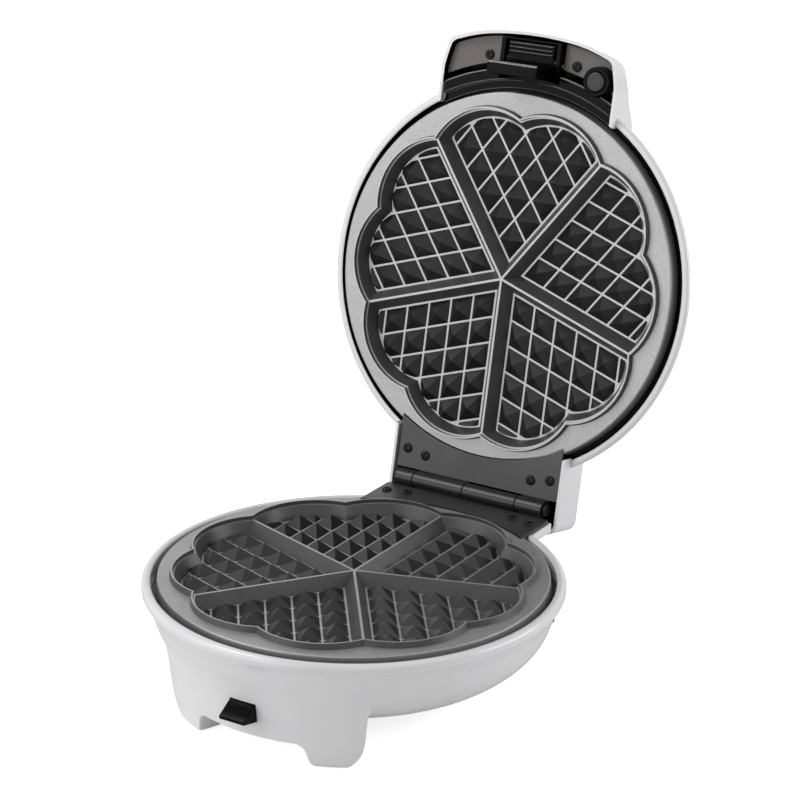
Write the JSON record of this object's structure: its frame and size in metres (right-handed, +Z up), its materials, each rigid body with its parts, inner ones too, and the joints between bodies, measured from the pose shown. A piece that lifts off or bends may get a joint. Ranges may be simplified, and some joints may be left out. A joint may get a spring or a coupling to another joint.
{
  "type": "interchangeable plate waffle maker",
  "caption": "Countertop waffle maker with a hinged domed lid standing open, lift-out heart plates, plate release buttons and a handle latch.",
  "frame": {"origin": "middle of the bounding box, on the plane under the feet", "axes": "+Z up, +Y towards the hinge, -Y towards the front release button, +X to the right seen from the front"},
  "size_m": [0.2106, 0.3008, 0.302],
  "materials": {
    "shell_plastic": "glossy silver-white moulding",
    "black_plastic": "polished black moulding",
    "taupe_plastic": "satin taupe moulding",
    "grey_plastic": "satin grey moulding",
    "nonstick_plate": "cast aluminium with a sprayed non-stick coating",
    "hinge_steel": "dark satin coating on pressed steel",
    "blackened_steel": "blackened",
    "aluminium_sheet": "pressed bright sheet",
    "bright_steel": "drawn",
    "ceramic": "unglazed steatite",
    "rubber": "moulded",
    "red_lens": "clear tinted lens",
    "green_lens": "clear tinted lens"
  },
  "bodies": {
    "base": {"base_shell": "shell_plastic", "bottom_cover": "black_plastic", "bottom_cover_screw_1": "blackened_steel", "bottom_cover_screw_2": "blackened_steel", "bottom_cover_screw_3": "blackened_steel", "bottom_cover_screw_4": "blackened_steel", "lower_reflector": "aluminium_sheet", "lower_heater": "bright_steel", "thermostat": "ceramic", "thermal_fuse": "ceramic", "terminal_block": "ceramic", "cord_gland": "rubber", "lower_hinge_leaf": "hinge_steel", "hinge_pin": "blackened_steel", "lower_hinge_screw_1": "blackened_steel", "lower_hinge_screw_2": "blackened_steel", "lower_hinge_screw_3": "blackened_steel", "lower_hinge_screw_4": "blackened_steel", "front_foot_left": "rubber", "front_foot_right": "rubber", "rear_foot_left": "rubber", "rear_foot_right": "rubber"},
    "lower_plate": {"lower_plate": "nonstick_plate"},
    "front_button": {"front_release_button": "black_plastic", "front_release_spring": "bright_steel"},
    "lid": {"lid_shell": "shell_plastic", "upper_reflector": "aluminium_sheet", "upper_heater": "bright_steel", "upper_hinge_leaf": "hinge_steel", "upper_hinge_screw_1": "blackened_steel", "upper_hinge_screw_2": "blackened_steel", "upper_hinge_screw_3": "blackened_steel", "upper_hinge_screw_4": "blackened_steel", "lid_front_band": "black_plastic", "handle_cover_left": "taupe_plastic", "handle_cover_right": "taupe_plastic", "handle_cover_screw_1": "blackened_steel", "handle_cover_screw_2": "blackened_steel", "latch_housing": "black_plastic", "latch_pin": "bright_steel", "lid_button_housing": "black_plastic", "power_lamp": "red_lens", "ready_lamp": "green_lens"},
    "upper_plate": {"upper_plate": "nonstick_plate"},
    "latch": {"latch_lever": "black_plastic", "latch_spring": "bright_steel"},
    "lid_button": {"lid_release_button": "grey_plastic", "lid_release_spring": "bright_steel"}
  },
  "joints": [
    {"name": "lid_hinge", "type": "hinge", "parent": "base", "child": "lid", "pos_m": [0, 0.07038, 0.064], "axis": [1, 0, 0], "range_deg": [0, 102]},
    {"name": "latch_pivot", "type": "hinge", "parent": "lid", "child": "latch", "pos_m": [0, 0.12515, 0.28607], "axis": [-1, 0, 0], "range_deg": [0, 12], "stiffness_Nm_per_rad": 0.2},
    {"name": "front_button_slide", "type": "slide", "parent": "base", "child": "front_button", "axis": [0, 1, 0], "range_m": [0, 0.003], "stiffness_N_per_m": 500},
    {"name": "lid_button_slide", "type": "slide", "parent": "lid", "child": "lid_button", "axis": [0, 0.9781, -0.2079], "range_m": [0, 0.003], "stiffness_N_per_m": 400},
    {"name": "lower_plate_lift", "type": "slide", "parent": "base", "child": "lower_plate", "axis": [0, 0, 1], "range_m": [0, 0.06]},
    {"name": "upper_plate_lift", "type": "slide", "parent": "lid", "child": "upper_plate", "axis": [0, -0.9781, 0.2079], "range_m": [0, 0.088]}
  ]
}
